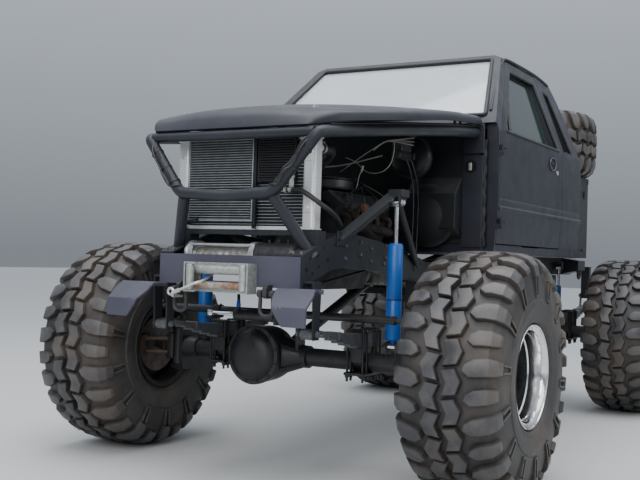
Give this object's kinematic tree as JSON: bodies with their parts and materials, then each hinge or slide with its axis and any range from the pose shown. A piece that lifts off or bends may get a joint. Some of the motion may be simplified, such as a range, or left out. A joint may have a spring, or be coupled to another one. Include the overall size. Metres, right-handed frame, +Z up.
{
  "type": "monster truck",
  "caption": "Monster truck on big mud tyres: old pickup cab with opening doors and hood, open nose with radiator and winch, leaf-sprung solid axles, spare wheel lying behind the cab.",
  "frame": {"origin": "on the ground under the middle of the truck's length and width", "axes": "-Y towards the nose, +X towards the truck's left, +Z up"},
  "size_m": [2.51, 4.457, 2.29],
  "materials": {
    "tyre_rubber": "matt",
    "wheel_alloy": "polished lip, dark satin centre",
    "body_paint": "satin, slightly dusty",
    "bumper_paint": "satin violet grey",
    "frame_paint": "satin",
    "axle_paint": "satin",
    "shock_blue": "gloss",
    "rod_chrome": "polished",
    "spring_steel": "satin",
    "winch_silver": "satin",
    "galvanised": "dull, rust in places",
    "shackle_steel": "dull",
    "cable_steel": "stranded",
    "radiator_alloy": "bare",
    "cooler_black": "satin",
    "engine_iron": "oily grey",
    "gearbox_alloy": "dull cast",
    "exhaust_steel": "rusty",
    "booster_black": "gloss",
    "windscreen_glass": "clear",
    "tinted_glass": "green tint",
    "seat_vinyl": "worn",
    "dash_plastic": "matt",
    "wheel_plastic": "matt"
  },
  "bodies": {
    "chassis": {"back_wall": "body_paint", "bench_seat": "seat_vinyl", "brake_booster": "booster_black", "bumper_wings": "bumper_paint", "cab_floor": "body_paint", "cab_glass": "tinted_glass", "crossmembers": "frame_paint", "dashboard": "dash_plastic", "engine": "engine_iron", "exhaust": "exhaust_steel", "fairlead": "galvanised", "fairlead_rollers": "galvanised", "firewall": "body_paint", "frame_rail_left": "frame_paint", "frame_rail_right": "frame_paint", "front_axle": "axle_paint", "front_frame": "body_paint", "front_shocks": "shock_blue", "front_springs": "spring_steel", "gearbox": "gearbox_alloy", "oil_cooler": "cooler_black", "propeller_shafts": "axle_paint", "quarter_left": "body_paint", "quarter_right": "body_paint", "radiator": "radiator_alloy", "rear_axle": "axle_paint", "rear_shocks": "shock_blue", "rear_springs": "spring_steel", "roof": "body_paint", "shock_towers": "frame_paint", "spare_carrier": "frame_paint", "spare_rim": "wheel_alloy", "spare_tyre": "tyre_rubber", "steering_ram": "axle_paint", "tow_shackles": "shackle_steel", "tube_guard": "body_paint", "winch": "winch_silver", "winch_bumper": "bumper_paint", "winch_cable": "cable_steel", "winch_drum": "winch_silver", "windscreen": "windscreen_glass"},
    "knuckle_left": {"knuckle_left": "axle_paint"},
    "knuckle_right": {"knuckle_right": "axle_paint"},
    "wheel_front_left": {"tyre_front_left": "tyre_rubber", "rim_front_left": "wheel_alloy"},
    "wheel_front_right": {"tyre_front_right": "tyre_rubber", "rim_front_right": "wheel_alloy"},
    "wheel_rear_left": {"tyre_rear_left": "tyre_rubber", "rim_rear_left": "wheel_alloy"},
    "wheel_rear_right": {"tyre_rear_right": "tyre_rubber", "rim_rear_right": "wheel_alloy"},
    "tie_rod": {"tie_rod": "axle_paint"},
    "ram_rod": {"steering_ram_rod": "rod_chrome"},
    "steering_wheel": {"steering_wheel": "wheel_plastic"},
    "door_left": {"door_left": "body_paint", "door_glass_left": "tinted_glass"},
    "door_right": {"door_right": "body_paint", "door_glass_right": "tinted_glass"},
    "hood": {"hood": "body_paint"}
  },
  "joints": [
    {"name": "steer_left", "type": "hinge", "parent": "chassis", "child": "knuckle_left", "pos_m": [0.715, -1.4485, 0.547], "axis": [0, 0, 1], "range_deg": [-30, 30]},
    {"name": "steer_right", "type": "hinge", "parent": "chassis", "child": "knuckle_right", "pos_m": [-0.715, -1.4485, 0.547], "axis": [0, 0, 1], "range_deg": [-30, 30]},
    {"name": "tie_rod_pivot", "type": "hinge", "parent": "knuckle_left", "child": "tie_rod", "pos_m": [0.715, -1.6235, 0.765], "axis": [0, 0, 1], "range_deg": [-30, 30]},
    {"name": "ram_slide", "type": "slide", "parent": "chassis", "child": "ram_rod", "axis": [1, 0, 0], "range_m": [-0.09, 0.09]},
    {"name": "steering_wheel_turn", "type": "hinge", "parent": "chassis", "child": "steering_wheel", "pos_m": [0.36, -0.3185, 1.76], "axis": [0, 0.88, 0.475], "range_deg": [-540, 540]},
    {"name": "spin_front_left", "type": "hinge", "parent": "knuckle_left", "child": "wheel_front_left", "pos_m": [1.02, -1.4485, 0.547], "axis": [1, 0, 0], "continuous": true},
    {"name": "spin_front_right", "type": "hinge", "parent": "knuckle_right", "child": "wheel_front_right", "pos_m": [-1.02, -1.4485, 0.547], "axis": [1, 0, 0], "continuous": true},
    {"name": "spin_rear_left", "type": "hinge", "parent": "chassis", "child": "wheel_rear_left", "pos_m": [0.955, 1.6815, 0.547], "axis": [1, 0, 0], "continuous": true},
    {"name": "spin_rear_right", "type": "hinge", "parent": "chassis", "child": "wheel_rear_right", "pos_m": [-0.955, 1.6815, 0.547], "axis": [1, 0, 0], "continuous": true},
    {"name": "door_left_swing", "type": "hinge", "parent": "chassis", "child": "door_left", "pos_m": [0.802, -0.6965, 1.445], "axis": [0, 0, -1], "range_deg": [0, 70]},
    {"name": "door_right_swing", "type": "hinge", "parent": "chassis", "child": "door_right", "pos_m": [-0.802, -0.6965, 1.445], "axis": [0, 0, 1], "range_deg": [0, 70]},
    {"name": "hood_lift", "type": "hinge", "parent": "chassis", "child": "hood", "pos_m": [0, -0.7445, 1.816], "axis": [-1, 0, 0], "range_deg": [0, 55]}
  ],
  "couplings": [
    {"joint": "steer_right", "follows": "steer_left", "ratio": 1},
    {"joint": "tie_rod_pivot", "follows": "steer_left", "ratio": -1},
    {"joint": "ram_slide", "follows": "steer_left", "m_per_rad": 0.1671},
    {"joint": "steering_wheel_turn", "follows": "steer_left", "ratio": 18}
  ]
}
